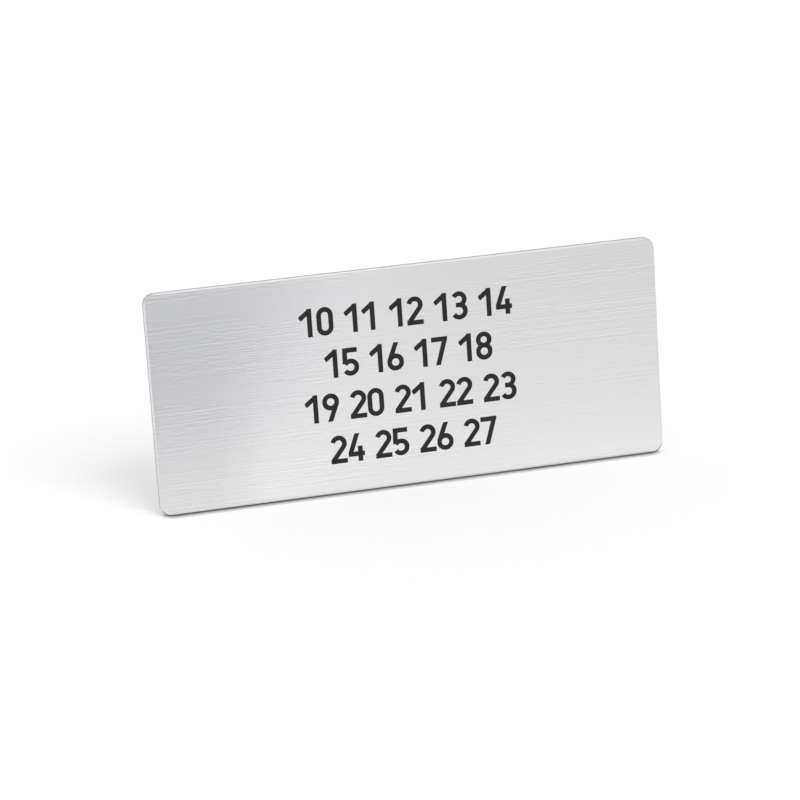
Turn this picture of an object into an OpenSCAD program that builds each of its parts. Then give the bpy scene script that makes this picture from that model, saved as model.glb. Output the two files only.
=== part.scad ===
// Mailbox sign: one flat sheet-metal plate with rounded corners, a bevel round the front face
// and a finer broken edge round the back face.
// It stands upright as it is fixed: X runs along the width, Z is up, and the front looks along -Y.
// The origin is the centre of the back face. All sizes are in millimetres.

/* [Plate] */
// Width of the plate
plate_w = 70; // [50:1:150]
// Height of the plate
plate_h = 30; // [20:1:60]
// Thickness of the sheet
plate_t = 1.0; // [0.8:0.1:3]

/* [Edges] */
// Radius of the four corners, seen from the front
corner_r = 1.5; // [1:0.1:5]
// Width of the bevel round the front face
front_bevel = 0.2; // [0.1:0.05:0.4]
// Width of the broken edge round the back face
back_break = 0.1; // [0.05:0.05:0.2]

/* [Smoothness] */
// Facets of a full circle in the preview
facets = 96; // [48:12:192]

/* [Hidden] */

plate_metal = [0.80, 0.80, 0.81];

// Centres of the corner arcs, from the centre of the plate
arc_x = plate_w / 2 - corner_r;
arc_y = plate_h / 2 - corner_r;

// Half of the plate's section: its middle is at x = 0, its edge at x = reach,
// the back face at y = 0 and the front face at y = plate_t
module half_section(reach) {
    polygon([
        [0, 0],
        [reach - back_break, 0],
        [reach, back_break],
        [reach, plate_t - front_bevel],
        [reach - front_bevel, plate_t],
        [0, plate_t]
    ]);
}

// A straight bar of the plate along X, with both of its long edges worked
module bar(length, width) {
    rotate([90, 0, 90])
        linear_extrude(length, center = true)
            union() {
                half_section(width / 2);
                mirror([1, 0]) half_section(width / 2);
            }
}

// A quarter of a round disc with the same worked edge, which fills the corner on +X and +Y
module corner() {
    translate([arc_x, arc_y, 0])
        rotate_extrude(angle = 90, $fn = facets)
            half_section(corner_r);
}

// The plate lying on its back, front face up
module flat_plate() {
    union() {
        bar(2 * arc_x, plate_h);
        rotate([0, 0, 90]) bar(2 * arc_y, plate_w);
        for (flip_x = [0, 1], flip_y = [0, 1])
            mirror([flip_x, 0, 0])
                mirror([0, flip_y, 0])
                    corner();
    }
}

module sign_plate() {
    color(plate_metal)
        rotate([90, 0, 0])
            flat_plate();
}

sign_plate();
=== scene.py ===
"""Mailbox sign: a small brushed metal plate with engraved, dark filled numerals in four centred rows.

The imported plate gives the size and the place. This script shows a copy of it with the marks carved into the
front, fills the marks, makes the materials, and sets the floor, the light and the camera. Lengths are in
metres unless a name ends in _mm.
"""

import math

import bpy
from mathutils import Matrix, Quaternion, Vector
from mathutils.geometry import delaunay_2d_cdt


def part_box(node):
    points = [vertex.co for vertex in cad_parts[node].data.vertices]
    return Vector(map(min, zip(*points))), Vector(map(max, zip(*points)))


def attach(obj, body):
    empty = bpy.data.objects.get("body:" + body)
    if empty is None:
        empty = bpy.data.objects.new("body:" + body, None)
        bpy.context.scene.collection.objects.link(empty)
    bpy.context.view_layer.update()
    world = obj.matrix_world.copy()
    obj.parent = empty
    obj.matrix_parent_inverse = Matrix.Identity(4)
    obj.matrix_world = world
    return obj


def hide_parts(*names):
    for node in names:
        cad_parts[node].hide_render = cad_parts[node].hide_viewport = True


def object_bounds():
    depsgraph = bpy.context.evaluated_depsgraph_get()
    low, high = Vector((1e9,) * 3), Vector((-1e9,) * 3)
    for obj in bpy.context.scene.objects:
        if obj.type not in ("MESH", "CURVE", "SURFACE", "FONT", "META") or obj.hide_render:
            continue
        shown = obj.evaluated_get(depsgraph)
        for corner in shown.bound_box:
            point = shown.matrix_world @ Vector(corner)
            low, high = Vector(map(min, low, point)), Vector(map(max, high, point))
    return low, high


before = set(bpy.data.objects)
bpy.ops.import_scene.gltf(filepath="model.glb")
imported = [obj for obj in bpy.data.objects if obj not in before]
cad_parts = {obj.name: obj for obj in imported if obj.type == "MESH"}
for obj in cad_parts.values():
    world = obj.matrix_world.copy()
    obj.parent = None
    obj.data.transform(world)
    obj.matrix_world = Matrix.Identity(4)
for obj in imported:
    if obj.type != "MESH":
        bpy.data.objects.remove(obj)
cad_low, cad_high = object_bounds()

MM = 0.001

# Camera, in the plate's own frame
IMAGE_SIDE_PX = 800
FOCAL_PX = 3029.9
SENSOR_MM = 36.0
CAMERA_PLACE_MM = (-95.39, -382.01, 94.12)
CAMERA_HEADING_DEG = 13.825
CAMERA_PITCH_DEG = -13.921
CAMERA_ROLL_DEG = -3.760
CAMERA_CLIP = (0.01, 20.0)

# Plate edges, as the solid has them
CORNER_R_MM = 1.5
FRONT_BEVEL_MM = 0.2
BACK_BREAK_MM = 0.1
CORNER_STEPS = 16

# Finishes of the plate, in the order of its materials
FACE_FINISH, CUT_FINISH, BACK_FINISH = 0, 1, 2

# Numerals. Strokes that end flush run past the cell, which trims them.
CAP_HEIGHT_MM = 3.80
CELL_WIDTH_MM = 2.20
ADVANCE_MM = 2.40
GROUP_GAP_MM = 1.35
STROKE_MM = 0.60
UPPER_BOWL_SHARE = 0.478
ARC_STEP_DEG = 10
RUN_PAST_MM = 0.4
ROW_PITCH_MM = 5.87
TOP_ROW_BASE_MM = 21.85
ROWS = ("10 11 12 13 14", "15 16 17 18", "19 20 21 22 23", "24 25 26 27")

# Engraving
MARK_DEPTH_MM = 0.12
FILL_TOP_MM = 0.03
WALL_DRAFT_MM = 0.03

# Limits of the outline work. A mitre is cut short where its cosine is under the limit, points closer than
# a join distance are one, and corners that agree to SHARED_DECIMALS of a millimetre are shared.
STROKE_MITRE = 0.25
WALL_MITRE = 0.3
STROKE_JOIN_MM = 1e-5
FILL_JOIN_MM = 1e-6
NEGLIGIBLE = 1e-4
SHARED_DECIMALS = 4

# Grain. A noise has a scale along each axis, and is spread from NOISE_RANGE over each pair of ends.
NOISE_RANGE = (0.3, 0.7)
NOISE_MIDDLE = 0.5
NOISE_ROUGHNESS = 0.55
SEED_WAY = (1, 0.37, 0.71)
GRAIN_DEPTH_MM = 0.02
METAL_TINT = (1.002, 1.0, 1.008)

# Brushed face. CALM_SHARE is how much of the lines shows, from the calmest places to the liveliest, where
# all of them show from 1 up.
LINE_SPACING_MM = 0.32
FINE_SCALE = (650, 300, 7800)
LONG_SCALE = (12, 300, 7400)
LONG_SHARE = 0.52
CALM_SCALE = (28, 300, 480)
CALM_SHARE = (0.05, 1.3)
CLOUD_SCALE = (30, 30, 60)
CLOUD_SHARE = 0.15
FACE_TONE = (0.705, 0.805)
FACE_ROUGHNESS = (0.182, 0.218)
FACE_RELIEF = 0.12
FACE_ANISOTROPY = 1.0
QUARTER_TURN = 0.25
UV_SPAN = 0.1
UV_MIDDLE = 0.5

# Satin cut edge and engraving
CUT_MARK_SCALE = (2500, 9000, 2500)
CUT_PATCH_SCALE = (400, 400, 400)
CUT_PATCH_SHARE = 0.5
CUT_TONE = (0.50, 0.60)
CUT_ROUGHNESS = (0.56, 0.68)
CUT_RELIEF = 0.5
CUT_EDGE_TINT = 0.75

# Rolled back
ROLL_LINE_SCALE = (40, 300, 1800)
PIT_SCALE = (2200, 2200, 2200)
PIT_SHARE = 0.5
BACK_CLOUD_SCALE = (70, 70, 90)
BACK_CLOUD_SHARE = 0.5
BACK_TONE = (0.66, 0.74)
BACK_ROUGHNESS = (0.30, 0.42)
BACK_RELIEF = 0.25

# Enamel of the marks
MOTTLE_SCALE = (2600, 2600, 2600)
ENAMEL_TINT = (1.0, 0.95, 1.02)
ENAMEL_TONE = (0.010, 0.020)
ENAMEL_ROUGHNESS = (0.5, 0.65)
ENAMEL_SPECULAR = 0.2
ENAMEL_RELIEF = 0.3

# Floor and backdrop. The floor carries a painted contact shadow, where its colour falls to a dark level along
# the plate's foot.
STAGE_HALF = 6.0
FLOOR_LEVEL = 0.98
# Painted contact shadow on the floor along the plate's foot: its darkest level, its reach out from the foot,
# and how far short of the plate's ends it stops.
CONTACT_SHADOW_LEVEL = 0.20
CONTACT_SHADOW_REACH_MM = 1.8
CONTACT_SHADOW_END_MM = 1.9
BACKDROP_PLACE = 2.0
BACKDROP_HEIGHT = 1.2
BACKDROP_LEVEL = 0.92

# Cards that lie lift_mm over the floor, which only metal and glass show. Their colours are painted shade that
# the metal
# mirrors: grey and graded sheets that darken zones of its face and edges, and a dark strip under the foot
# that is a painted contact shadow. Each row of a card is its distance in front of the plate's back, its left
# end and its right end, and it fades in over soft_mm from those ends. fade_mm is two distances in front of
# the back, with a colour at each.
# slant is how much of the way to the right is added to the distance.
CARDS = {
    # Painted shade that the metal mirrors: darker farther in front, so the face's upper part is darker than
    # its lower part.
    "front_shade_card": {
        "lift_mm": 0.2,
        "rows_mm": ((1.5, -26, 303), (400, 119, 303)),
        "soft_mm": 10,
        "fade_mm": (12, 158),
        "colours": ((0.974, 0.974, 0.974), (0.541, 0.541, 0.541)),
        "slant": 0.216,
    },
    # Painted shade that the metal mirrors: a grey, bluish card that darkens the upper left of the face.
    "left_shade_card": {
        "lift_mm": 0.4,
        "rows_mm": ((1.5, -45, -20.5), (42, -61, -11), (85, -77, 8), (116, -90, 18), (400, -200, 132)),
        "soft_mm": 8,
        "fade_mm": (39, 64),
        "colours": ((0.818, 0.818, 0.818), (0.412, 0.421, 0.468)),
        "slant": -0.4,
    },
    "right_shade_card": {
        "lift_mm": 0.2,
        # Painted shade that the metal mirrors: an even grey card that darkens the plate's right edge.
        "rows_mm": ((-120, 43, 300), (4, 43, 300)),
        "soft_mm": 4,
        "colours": ((0.8, 0.8, 0.8), (0.8, 0.8, 0.8)),
    },
    # Painted contact shadow that only the metal mirrors: a dark strip under the plate's foot, which darkens
    # its lower edge.
    "foot_shadow_card": {
        "lift_mm": 0.02,
        "rows_mm": ((-0.6, -36.8, 38.4), (1.3, -36.8, 38.4)),
        "soft_mm": 3.2,
        "colours": ((0.2, 0.2, 0.2), (0.2, 0.2, 0.2)),
    },
}

# Light
WORLD_LEVEL = 0.80
KEY_LEVEL = 1.2
KEY_WIDTH_DEG = 30
KEY_DIRECTION = (-0.25, 1.0, -0.75)


# Numerals as strokes

def arc(cx, cy, radius, start_deg, end_deg):
    """Points along an arc, about ARC_STEP_DEG apart, in the order from start to end."""
    steps = max(2, round(abs(end_deg - start_deg) / ARC_STEP_DEG))
    angles = [math.radians(start_deg + (end_deg - start_deg) * i / steps) for i in range(steps + 1)]
    return [(cx + radius * math.cos(a), cy + radius * math.sin(a)) for a in angles]


def ring(cx, cy, radius):
    """A closed stroke around a whole circle."""
    return True, arc(cx, cy, radius, 0, 360 - ARC_STEP_DEG)


def numeral_strokes():
    """Centre lines of the ten numerals in millimetres, each stroke as (closed, points)."""
    half = STROKE_MM / 2
    left, right = half, CELL_WIDTH_MM - half
    low, high = half, CAP_HEIGHT_MM - half
    past_foot, past_top = -RUN_PAST_MM, CAP_HEIGHT_MM + RUN_PAST_MM
    mid_x = CELL_WIDTH_MM / 2
    end_r = mid_x - half
    top_r = (high - low) * UPPER_BOWL_SHARE / 2
    low_r = (high - low) / 2 - top_r
    waist = high - 2 * top_r
    upright_x = mid_x + 0.32
    four_x, four_bar = right - 0.28, 1.02
    six_y = low + low_r
    six_start = math.radians(158)
    stem_x, stem_y = mid_x + low_r * math.cos(six_start), six_y + low_r * math.sin(six_start)
    rise = (past_top - stem_y) / math.cos(math.pi - six_start)
    six = [
        ring(mid_x, six_y, low_r),
        (False, [(stem_x, stem_y), (stem_x + rise * math.sin(six_start), past_top)]),
    ]
    nine = [
        (closed, [(CELL_WIDTH_MM - x, CAP_HEIGHT_MM - y) for x, y in points])
        for closed, points in six
    ]
    return {
        "0": [(True, arc(mid_x, high - end_r, end_r, 180, 0) + arc(mid_x, low + end_r, end_r, 0, -180))],
        "1": [
            (False, [(upright_x, past_foot), (upright_x, CAP_HEIGHT_MM)]),
            (False, [(upright_x, high + 0.02), (mid_x - 1.02, high - 1.0)]),
        ],
        "2": [
            (False, arc(mid_x, high - end_r, end_r, 165, -38) + [(left - 0.2, low - 0.12)]),
            (False, [(0, low), (CELL_WIDTH_MM, low)]),
        ],
        "3": [
            (False, arc(mid_x - 0.04, high - top_r, top_r, 150, -90)),
            (False, arc(mid_x - 0.04, waist - low_r, low_r, 90, -150)),
            (False, [(mid_x - 0.45, waist), (mid_x, waist)]),
        ],
        "4": [
            (False, [(upright_x, past_top), (left - 0.08, four_bar), (CELL_WIDTH_MM, four_bar)]),
            (False, [(four_x, past_foot), (four_x, 2.05)]),
        ],
        "5": [
            (False, [(right + 0.14, high), (left + 0.08, high), (left + 0.04, waist - 0.3)]),
            (False, arc(mid_x - 0.02, waist - low_r + 0.04, low_r, 148, -148)),
        ],
        "6": six,
        "7": [(False, [(0, high), (right - 0.02, high), (mid_x - 0.42, past_foot)])],
        "8": [ring(mid_x, high - top_r, top_r), ring(mid_x, waist - low_r, low_r)],
        "9": nine,
    }


def stroke_sides(points, closed):
    """The two edges of a stroke of the numerals' width, mitred at its bends."""
    count = len(points)
    left, right = [], []
    for i, (x, y) in enumerate(points):
        here = Vector((x, y))
        before = Vector(points[i - 1]) if closed or i > 0 else None
        after = Vector(points[(i + 1) % count]) if closed or i < count - 1 else None
        into = (here - before).normalized() if before else (after - here).normalized()
        out = (after - here).normalized() if after else into
        normal_in, normal_out = Vector((-into.y, into.x)), Vector((-out.y, out.x))
        bisector = (normal_in + normal_out).normalized()
        reach = STROKE_MM / 2 / max(STROKE_MITRE, bisector.dot(normal_in))
        left.append(here + bisector * reach)
        right.append(here - bisector * reach)
    return left, right


def union_loops(polygons, clip):
    """Outlines of the union of some polygons inside the clip polygon, as closed loops of points."""
    points, faces = [], []
    for polygon in [clip, *polygons]:
        faces.append(list(range(len(points), len(points) + len(polygon))))
        points += [Vector(p) for p in polygon]
    corners, _, triangles, _, _, origins = delaunay_2d_cdt(points, [], faces, 0, STROKE_JOIN_MM)
    inked = [t for t, origin in zip(triangles, origins) if 0 in origin and len(origin) > 1]
    edges = {(t[i], t[(i + 1) % 3]) for t in inked for i in range(3)}
    following = {a: b for a, b in edges if (b, a) not in edges}
    loops = []
    while following:
        start, here = following.popitem()
        loop = [start]
        while here != start:
            loop.append(here)
            here = following.pop(here)
        loops.append(without_straights([corners[i] for i in loop]))
    return loops


def without_straights(loop):
    """The loop without doubled points and points on a straight run."""
    kept = []
    for i, p in enumerate(loop):
        a, b = p - loop[i - 1], loop[(i + 1) % len(loop)] - p
        if a.length > NEGLIGIBLE and abs(a.x * b.y - a.y * b.x) > NEGLIGIBLE * a.length * b.length:
            kept.append(p)
    return kept


def turns_left(loop):
    """Whether the loop runs anticlockwise, as outlines do and holes don't."""
    return sum(a.x * b.y - a.y * b.x for a, b in zip(loop, loop[1:] + loop[:1])) > 0


def numeral_loops():
    """Outlines of the ten numerals."""
    cell = [(0, 0), (CELL_WIDTH_MM, 0), (CELL_WIDTH_MM, CAP_HEIGHT_MM), (0, CAP_HEIGHT_MM)]
    outlines = {}
    for numeral, strokes in numeral_strokes().items():
        quads = []
        for closed, points in strokes:
            left, right = stroke_sides(points, closed)
            for i in range(len(points) if closed else len(points) - 1):
                j = (i + 1) % len(points)
                quads.append([left[i], right[i], right[j], left[j]])
        outlines[numeral] = union_loops(quads, cell)
    return outlines


def grown(loop, distance):
    """The loop moved outward from the ink by a distance, mitred. Ink lies on the left of its direction."""
    moved = []
    for i, p in enumerate(loop):
        into, out = (p - loop[i - 1]).normalized(), (loop[(i + 1) % len(loop)] - p).normalized()
        normal_in, normal_out = Vector((into.y, -into.x)), Vector((out.y, -out.x))
        bisector = (normal_in + normal_out).normalized()
        moved.append(p + bisector * distance / max(WALL_MITRE, bisector.dot(normal_in)))
    return moved


def row_loops(text, base_mm, outlines):
    """Outlines of one centred row of numerals, in millimetres from the plate's centre."""
    groups = text.split()
    digits = sum(len(g) for g in groups)
    width = digits * ADVANCE_MM - (ADVANCE_MM - CELL_WIDTH_MM) + (len(groups) - 1) * GROUP_GAP_MM
    x = -width / 2
    placed = []
    for group in groups:
        for numeral in group:
            placed += [[p + Vector((x, base_mm)) for p in loop] for loop in outlines[numeral]]
            x += ADVANCE_MM
        x += GROUP_GAP_MM
    return placed


# Meshes

class Shell:
    """Collects the faces of one mesh and shares the corners that meet.

    Each call of flat or wall adds one surface. It is shaded smooth in itself and sharp towards the others.
    """

    def __init__(self):
        self.places, self.index = [], {}
        self.faces, self.surfaces, self.finishes = [], [], []
        self.surface = 0

    def corner(self, *place_mm):
        """The index of the corner at a place, which is new if no corner is there yet."""
        key = tuple(round(part, SHARED_DECIMALS) for part in place_mm)
        if key not in self.index:
            self.index[key] = len(self.places)
            self.places.append([part * MM for part in place_mm])
        return self.index[key]

    def face(self, corners, finish):
        """One face, left out where its corners fall together."""
        indices = [self.corner(*c) for c in corners]
        indices = [v for i, v in enumerate(indices) if v != indices[i - 1]]
        if len(set(indices)) > 2:
            self.faces.append(indices)
            self.surfaces.append(self.surface)
            self.finishes.append(finish)

    def flat(self, loops, y_mm, towards_front, holes_in=None, finish=0):
        """Fills the loops, or the outline holes_in around them, at one depth."""
        self.surface += 1
        points, faces = [], []
        for loop in ([holes_in] if holes_in else []) + loops:
            faces.append(list(range(len(points), len(points) + len(loop))))
            points += [Vector(p) for p in (loop if turns_left(loop) else loop[::-1])]
        corners, _, triangles, _, _, origins = delaunay_2d_cdt(points, [], faces, 0, FILL_JOIN_MM)
        for triangle, origin in zip(triangles, origins):
            depth = len([i for i in origin if i > 0 or not holes_in])
            wanted = depth % 2 == 0 if holes_in else depth % 2 == 1
            if wanted and origin:
                places = [(corners[i].x, y_mm, corners[i].y) for i in triangle]
                self.face(places if towards_front else places[::-1], finish)

    def wall(self, levels, finish=0):
        """Joins loops of as many points with quads. A level is a loop and its depth, the deepest first."""
        self.surface += 1
        for (loop_a, y_a), (loop_b, y_b) in zip(levels, levels[1:]):
            for i in range(len(loop_a)):
                j = (i + 1) % len(loop_a)
                self.face([
                    (loop_a[i][0], y_a, loop_a[i][1]),
                    (loop_a[j][0], y_a, loop_a[j][1]),
                    (loop_b[j][0], y_b, loop_b[j][1]),
                    (loop_b[i][0], y_b, loop_b[i][1]),
                ], finish)

    def build(self, name, materials):
        """The mesh as an object, with sharp edges where surfaces meet."""
        mesh = bpy.data.meshes.new(name)
        mesh.from_pydata(self.places, [], self.faces)
        for material in materials:
            mesh.materials.append(material)
        meeting = {}
        for polygon, surface, finish in zip(mesh.polygons, self.surfaces, self.finishes):
            polygon.use_smooth = True
            polygon.material_index = finish
            for key in polygon.edge_keys:
                meeting.setdefault(key, set()).add(surface)
        for edge in mesh.edges:
            edge.use_edge_sharp = len(meeting[edge.key]) > 1
        mesh.validate()
        piece = bpy.data.objects.new(name, mesh)
        bpy.context.scene.collection.objects.link(piece)
        return piece


def plate_loop(half_w, half_h, inset):
    """Outline of the plate with rounded corners, moved inward by an inset, seen from the front."""
    loop = []
    for quarter, (sx, sy) in enumerate(((1, 1), (-1, 1), (-1, -1), (1, -1))):
        centre = Vector((sx * (half_w - CORNER_R_MM), sy * (half_h - CORNER_R_MM)))
        for step in range(CORNER_STEPS + 1):
            angle = math.radians(90 * (quarter + step / CORNER_STEPS))
            loop.append(centre + Vector((math.cos(angle), math.sin(angle))) * (CORNER_R_MM - inset))
    return loop


def plate_size_mm():
    """Width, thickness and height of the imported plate."""
    low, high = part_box("sign_plate")
    return (high.x - low.x) / MM, (high.y - low.y) / MM, (high.z - low.z) / MM


def build_plate(mark_loops, materials):
    """The plate with its marks carved into the front."""
    width, thickness, height = plate_size_mm()
    front = -thickness
    shell = Shell()
    back_edge = (plate_loop(width / 2, height / 2, BACK_BREAK_MM), 0)
    side_back = (plate_loop(width / 2, height / 2, 0), -BACK_BREAK_MM)
    side_front = (plate_loop(width / 2, height / 2, 0), front + FRONT_BEVEL_MM)
    front_edge = (plate_loop(width / 2, height / 2, FRONT_BEVEL_MM), front)
    shell.flat([back_edge[0]], 0, towards_front=False, finish=BACK_FINISH)
    shell.wall([back_edge, side_back], CUT_FINISH)
    shell.wall([side_back, side_front], CUT_FINISH)
    shell.wall([side_front, front_edge], FACE_FINISH)
    mouths = [grown(loop, WALL_DRAFT_MM) for loop in mark_loops]
    shell.flat(mouths, front, towards_front=True, holes_in=front_edge[0], finish=FACE_FINISH)
    for mouth, loop in zip(mouths, mark_loops):
        shell.wall([(loop, front + MARK_DEPTH_MM), (mouth, front)], CUT_FINISH)
    shell.flat(mark_loops, front + MARK_DEPTH_MM, towards_front=True, finish=CUT_FINISH)
    return shell.build("engraved_plate", materials)


def build_fill(name, mark_loops, material):
    """The dark fill of one row: closed slugs that fit the carving and stop just below the plate's face."""
    front = -plate_size_mm()[1]
    top, bottom = front + FILL_TOP_MM, front + MARK_DEPTH_MM
    spread = WALL_DRAFT_MM * (1 - FILL_TOP_MM / MARK_DEPTH_MM)
    rims = [grown(loop, spread) for loop in mark_loops]
    shell = Shell()
    shell.flat(rims, top, towards_front=True)
    shell.flat(mark_loops, bottom, towards_front=False)
    for rim, loop in zip(rims, mark_loops):
        shell.wall([(loop, bottom), (rim, top)])
    return shell.build(name, [material])


def add_brushing_map(piece):
    """A UV map whose U runs along the width, which sets the direction of the brushing.

    The other surfaces are shifted by their depth, so that none of them is flattened in the map.
    """
    uv = piece.data.uv_layers.new(name="brushing")
    for polygon in piece.data.polygons:
        for loop in polygon.loop_indices:
            place = piece.data.vertices[piece.data.loops[loop].vertex_index].co
            shift = 0 if polygon.material_index == FACE_FINISH else place.y
            uv.data[loop].uv = [(part + shift) / UV_SPAN + UV_MIDDLE for part in (place.x, place.z)]


# Materials

class Finish:
    """A material that is built node by node. Most calls add a node and return its output."""

    def __init__(self, name):
        self.material = bpy.data.materials.new(name)
        self.material.use_nodes = True
        self.tree = self.material.node_tree
        self.tree.nodes.clear()

    def node(self, kind, inputs, **settings):
        """A new node. Each input gets its value, or a link if it is given another node's output."""
        node = self.tree.nodes.new(kind)
        for setting, value in settings.items():
            setattr(node, setting, value)
        for socket, value in inputs.items():
            if isinstance(value, bpy.types.NodeSocket):
                self.tree.links.new(value, node.inputs[socket])
            else:
                node.inputs[socket].default_value = value
        return node

    def place(self):
        """The place on the object, in metres."""
        return self.node("ShaderNodeTexCoord", {}).outputs["Object"]

    def number(self, operation, first, second):
        """One step of arithmetic."""
        return self.node("ShaderNodeMath", {0: first, 1: second}, operation=operation).outputs["Value"]

    def vector(self, operation, first, second=(0, 0, 0), result="Vector"):
        """One step of vector arithmetic."""
        return self.node("ShaderNodeVectorMath", {0: first, 1: second}, operation=operation).outputs[result]

    def noise(self, place, scale, seed, detail=0.0):
        """Noise with its own scale along each axis, which is stretched the way the scale is low."""
        stretched = self.node("ShaderNodeMapping", {
            "Vector": place,
            "Location": [seed * part for part in SEED_WAY],
            "Scale": scale,
        })
        return self.node("ShaderNodeTexNoise", {
            "Vector": stretched.outputs["Vector"],
            "Scale": 1.0,
            "Detail": detail,
            "Roughness": NOISE_ROUGHNESS,
        }).outputs["Fac"]

    def mixed(self, first, second, share):
        """A blend of two values, with a share of the second."""
        return self.node("ShaderNodeMix", {"Factor": share, "A": first, "B": second}).outputs["Result"]

    def spread(self, source, ends, source_ends=NOISE_RANGE):
        """The source spread over the range between two ends."""
        return self.node("ShaderNodeMapRange", {
            "Value": source,
            "From Min": source_ends[0],
            "From Max": source_ends[1],
            "To Min": ends[0],
            "To Max": ends[1],
        }).outputs["Result"]

    def ramp(self, source, colours, source_ends=NOISE_RANGE):
        """A colour that runs with the source from the first colour to the second."""
        ramp = self.node("ShaderNodeValToRGB", {"Fac": source})
        for stop, colour, position in zip(ramp.color_ramp.elements, colours, source_ends):
            stop.position = position
            stop.color = (*colour, 1)
        return ramp.outputs["Color"]

    def relief(self, height, strength):
        """A surface direction that follows a height."""
        return self.node("ShaderNodeBump", {
            "Height": height,
            "Strength": strength,
            "Distance": GRAIN_DEPTH_MM * MM,
        }).outputs["Normal"]

    def matt(self, colour):
        """A plain diffuse shader."""
        return self.node("ShaderNodeBsdfDiffuse", {"Color": colour}).outputs["BSDF"]

    def glossy(self, inputs):
        """A full shader with the inputs given."""
        return self.node("ShaderNodeBsdfPrincipled", inputs).outputs["BSDF"]

    def done(self, shader):
        """The material, with the shader on its surface."""
        self.node("ShaderNodeOutputMaterial", {"Surface": shader})
        return self.material


def tones(levels, tint):
    """One tint at two levels."""
    return [[level * part for part in tint] for level in levels]


def metal(name, grain, tone, roughness, relief, anisotropy=0.0, edge_tint=1.0):
    """A metal whose colour, roughness and relief follow a grain that a function makes."""
    finish = Finish(name)
    pattern, shade = grain(finish, finish.place())
    inputs = {
        "Metallic": 1.0,
        "Specular Tint": (edge_tint, edge_tint, edge_tint, 1),
        "Base Color": finish.ramp(shade, tones(tone, METAL_TINT)),
        "Roughness": finish.spread(pattern, roughness),
        "Normal": finish.relief(pattern, relief),
    }
    if anisotropy:
        tangent = finish.node("ShaderNodeTangent", {}, direction_type="UV_MAP", uv_map="brushing")
        inputs["Anisotropic"] = anisotropy
        inputs["Anisotropic Rotation"] = QUARTER_TURN
        inputs["Tangent"] = tangent.outputs["Tangent"]
    return finish.done(finish.glossy(inputs))


def brush_lines(finish, place, scale, seed):
    """Thin lines of an even spacing: noise less the same noise half a line away."""
    aside = finish.vector("ADD", place, (0, 0, LINE_SPACING_MM / 2 * MM))
    here = finish.noise(place, scale, seed)
    there = finish.noise(aside, scale, seed)
    return finish.number("ADD", finish.number("SUBTRACT", here, there), NOISE_MIDDLE)


def brushing_grain(finish, place):
    """Fine streaks along the width, some of them long, calm in places, on a faint cloud."""
    fine = brush_lines(finish, place, FINE_SCALE, seed=3.0)
    long = brush_lines(finish, place, LONG_SCALE, seed=11.0)
    cloud = finish.noise(place, CLOUD_SCALE, seed=23.0, detail=2.0)
    calm = finish.noise(place, CALM_SCALE, seed=59.0, detail=1.0)
    lines = finish.mixed(fine, long, LONG_SHARE)
    pattern = finish.mixed(NOISE_MIDDLE, lines, finish.spread(calm, CALM_SHARE))
    return pattern, finish.mixed(pattern, cloud, CLOUD_SHARE)


def cutting_grain(finish, place):
    """Short fine marks around the cut edge, in faint patches."""
    marks = finish.noise(place, CUT_MARK_SCALE, seed=7.0, detail=2.0)
    patches = finish.noise(place, CUT_PATCH_SCALE, seed=17.0, detail=2.0)
    return marks, finish.mixed(marks, patches, CUT_PATCH_SHARE)


def rolling_grain(finish, place):
    """Faint wide lines of the rolled sheet, with small pits and clouds."""
    lines = finish.noise(place, ROLL_LINE_SCALE, seed=5.0, detail=2.0)
    pits = finish.noise(place, PIT_SCALE, seed=13.0, detail=2.0)
    clouds = finish.noise(place, BACK_CLOUD_SCALE, seed=29.0, detail=3.0)
    pattern = finish.mixed(lines, pits, PIT_SHARE)
    return pattern, finish.mixed(pattern, clouds, BACK_CLOUD_SHARE)


def enamel():
    """Matt dark fill with a faint mottle."""
    finish = Finish("marking_enamel")
    mottle = finish.noise(finish.place(), MOTTLE_SCALE, seed=5.0, detail=4.0)
    return finish.done(finish.glossy({
        "Specular IOR Level": ENAMEL_SPECULAR,
        "Base Color": finish.ramp(mottle, tones(ENAMEL_TONE, ENAMEL_TINT)),
        "Roughness": finish.spread(mottle, ENAMEL_ROUGHNESS),
        "Normal": finish.relief(mottle, ENAMEL_RELIEF),
    }))


# Floor, light and camera

def stage_piece(name, corners, faces=None):
    """One piece of the stage, with its corners given in metres: a single face, or the faces given."""
    mesh = bpy.data.meshes.new(name)
    mesh.from_pydata(corners, [], faces or [range(len(corners))])
    piece = bpy.data.objects.new(name, mesh)
    bpy.context.scene.collection.objects.link(piece)
    return piece


def make_floor():
    """A wide pale floor with a painted contact shadow, darker where the plate's lower edge meets it."""
    side, level = STAGE_HALF, cad_low.z
    corners = [(-side, -side), (side, -side), (side, side), (-side, side)]
    floor = stage_piece("floor", [(x, y, level) for x, y in corners])
    foot_low = Vector((cad_low.x + CONTACT_SHADOW_END_MM * MM, cad_low.y + FRONT_BEVEL_MM * MM, level))
    foot_high = Vector((cad_high.x - CONTACT_SHADOW_END_MM * MM, cad_high.y, level))
    finish = Finish("pale_floor_painted_shadow")
    away = finish.vector("SUBTRACT", finish.place(), (foot_low + foot_high) / 2)
    away = finish.vector("ABSOLUTE", away)
    away = finish.vector("SUBTRACT", away, (foot_high - foot_low) / 2)
    away = finish.vector("MAXIMUM", away)
    away = finish.vector("LENGTH", away, result="Value")
    # Painted contact shadow: the floor's colour darkens towards the plate's foot over a short reach.
    shade = finish.spread(away, (CONTACT_SHADOW_LEVEL, FLOOR_LEVEL), (0, CONTACT_SHADOW_REACH_MM * MM))
    floor.data.materials.append(finish.done(finish.matt(shade)))


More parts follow.
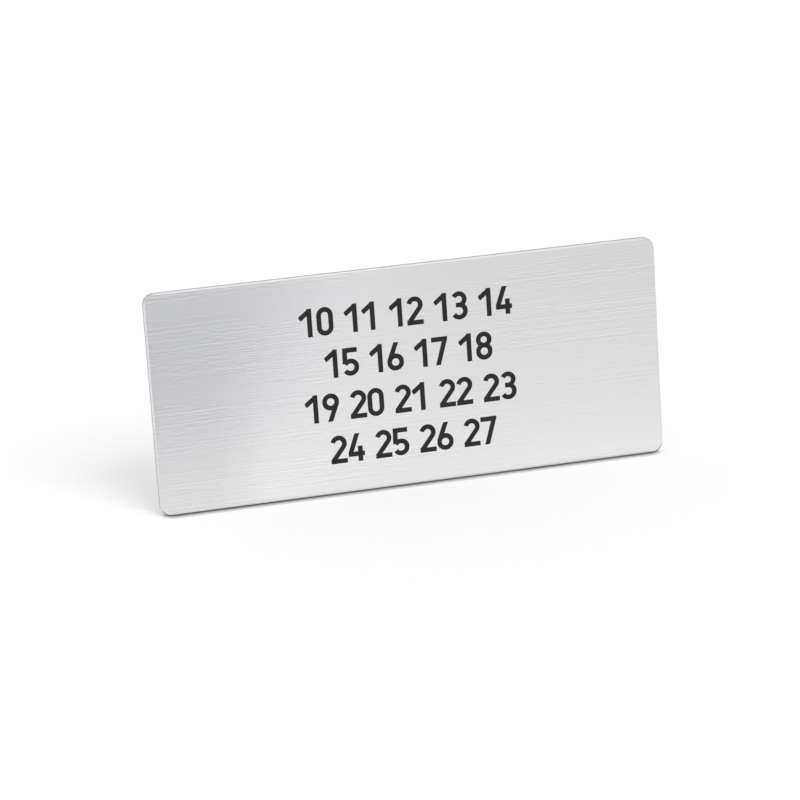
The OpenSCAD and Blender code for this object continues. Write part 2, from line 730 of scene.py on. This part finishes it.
def make_backdrop():
    """A pale wall far behind the plate."""
    side, low = STAGE_HALF, cad_low.z
    high = low + BACKDROP_HEIGHT
    corners = [(-side, low), (side, low), (side, high), (-side, high)]
    wall = stage_piece("backdrop", [(x, BACKDROP_PLACE, z) for x, z in corners])
    finish = Finish("pale_backdrop")
    colour = (BACKDROP_LEVEL, BACKDROP_LEVEL, BACKDROP_LEVEL, 1)
    wall.data.materials.append(finish.done(finish.matt(colour)))


def card_strip(name, rows_mm, soft_mm, level):
    """The strip of a card, with how much each of its points covers kept as the attribute "cover"."""
    corners, covers = [], []
    for front, left, right in rows_mm:
        for x, cover in ((left, 0), (left + soft_mm, 1), (right - soft_mm, 1), (right, 0)):
            corners.append((x * MM, -front * MM, level))
            covers.append(cover)
    across = len(corners) // len(rows_mm)
    faces = []
    for row in range(len(rows_mm) - 1):
        for column in range(across - 1):
            first = row * across + column
            faces.append((first, first + 1, first + 1 + across, first + across))
    card = stage_piece(name, corners, faces)
    card.data.attributes.new("cover", "FLOAT", "POINT").data.foreach_set("value", covers)
    return card


def make_card(name, rows_mm, soft_mm, colours, lift_mm, fade_mm=(0, 1), slant=0.0):
    """A card over the floor with painted shade, which the camera doesn't see and the metal mirrors."""
    card = card_strip(name, rows_mm, soft_mm, cad_low.z + lift_mm * MM)
    finish = Finish(name)
    # The card's colour is painted shade, graded with the distance in front of the plate.
    distance = finish.vector("DOT_PRODUCT", finish.place(), (slant, -1, 0), result="Value")
    share = finish.spread(distance, (0, 1), [end * MM for end in fade_mm])
    shader = finish.matt(finish.ramp(share, colours, (0, 1)))
    cover = finish.node("ShaderNodeAttribute", {}, attribute_name="cover").outputs["Fac"]
    clear = finish.node("ShaderNodeBsdfTransparent", {}).outputs["BSDF"]
    blend = finish.node("ShaderNodeMixShader", {"Fac": cover, 1: clear, 2: shader})
    card.data.materials.append(finish.done(blend.outputs["Shader"]))
    card.visible_camera = False
    card.visible_diffuse = False
    card.visible_shadow = False


def make_world():
    """An even white surrounding light."""
    world = bpy.data.worlds.new("studio")
    bpy.context.scene.world = world
    world.use_nodes = True
    background = world.node_tree.nodes["Background"]
    background.inputs["Color"].default_value = (1, 1, 1, 1)
    background.inputs["Strength"].default_value = WORLD_LEVEL


def make_sun():
    """One large soft lamp, in front of the plate, high and to the right."""
    light = bpy.data.lights.new("key", "SUN")
    light.energy = KEY_LEVEL
    light.angle = math.radians(KEY_WIDTH_DEG)
    lamp = bpy.data.objects.new("key", light)
    lamp.rotation_mode = "QUATERNION"
    lamp.rotation_quaternion = Vector(KEY_DIRECTION).to_track_quat("-Z", "Y")
    bpy.context.scene.collection.objects.link(lamp)


def make_camera():
    """The camera at the photograph's place. Its heading is measured from +Y to the right."""
    camera = bpy.data.cameras.new("camera")
    camera.sensor_width = SENSOR_MM
    camera.lens = FOCAL_PX / IMAGE_SIDE_PX * SENSOR_MM
    camera.clip_start, camera.clip_end = CAMERA_CLIP
    holder = bpy.data.objects.new("camera", camera)
    heading, pitch = math.radians(CAMERA_HEADING_DEG), math.radians(CAMERA_PITCH_DEG)
    look = Vector((
        math.sin(heading) * math.cos(pitch),
        math.cos(heading) * math.cos(pitch),
        math.sin(pitch),
    ))
    holder.location = Vector(CAMERA_PLACE_MM) * MM
    holder.rotation_mode = "QUATERNION"
    roll = Quaternion((0, 0, 1), math.radians(CAMERA_ROLL_DEG))
    holder.rotation_quaternion = look.to_track_quat("-Z", "Y") @ roll
    bpy.context.scene.collection.objects.link(holder)
    bpy.context.scene.camera = holder


make_camera()
make_floor()
make_backdrop()
for name, card in CARDS.items():
    make_card(name, **card)
make_world()
make_sun()

outlines = numeral_loops()
plate_height_mm = plate_size_mm()[2]
rows = []
for number, text in enumerate(ROWS):
    base = TOP_ROW_BASE_MM - number * ROW_PITCH_MM - plate_height_mm / 2
    rows.append(row_loops(text, base, outlines))

plate_materials = [
    metal("brushed_face_metal", brushing_grain, FACE_TONE, FACE_ROUGHNESS, FACE_RELIEF, FACE_ANISOTROPY),
    metal("cut_edge_metal", cutting_grain, CUT_TONE, CUT_ROUGHNESS, CUT_RELIEF, edge_tint=CUT_EDGE_TINT),
    metal("rolled_back_metal", rolling_grain, BACK_TONE, BACK_ROUGHNESS, BACK_RELIEF),
]
plate = build_plate([loop for loops in rows for loop in loops], plate_materials)
add_brushing_map(plate)
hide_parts("sign_plate")
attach(plate, "root")

fill_material = enamel()
for number, loops in enumerate(rows):
    fill = build_fill(f"marking_row_{number + 1}", loops, fill_material)
    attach(fill, "root")

bpy.context.scene.view_settings.view_transform = "Standard"
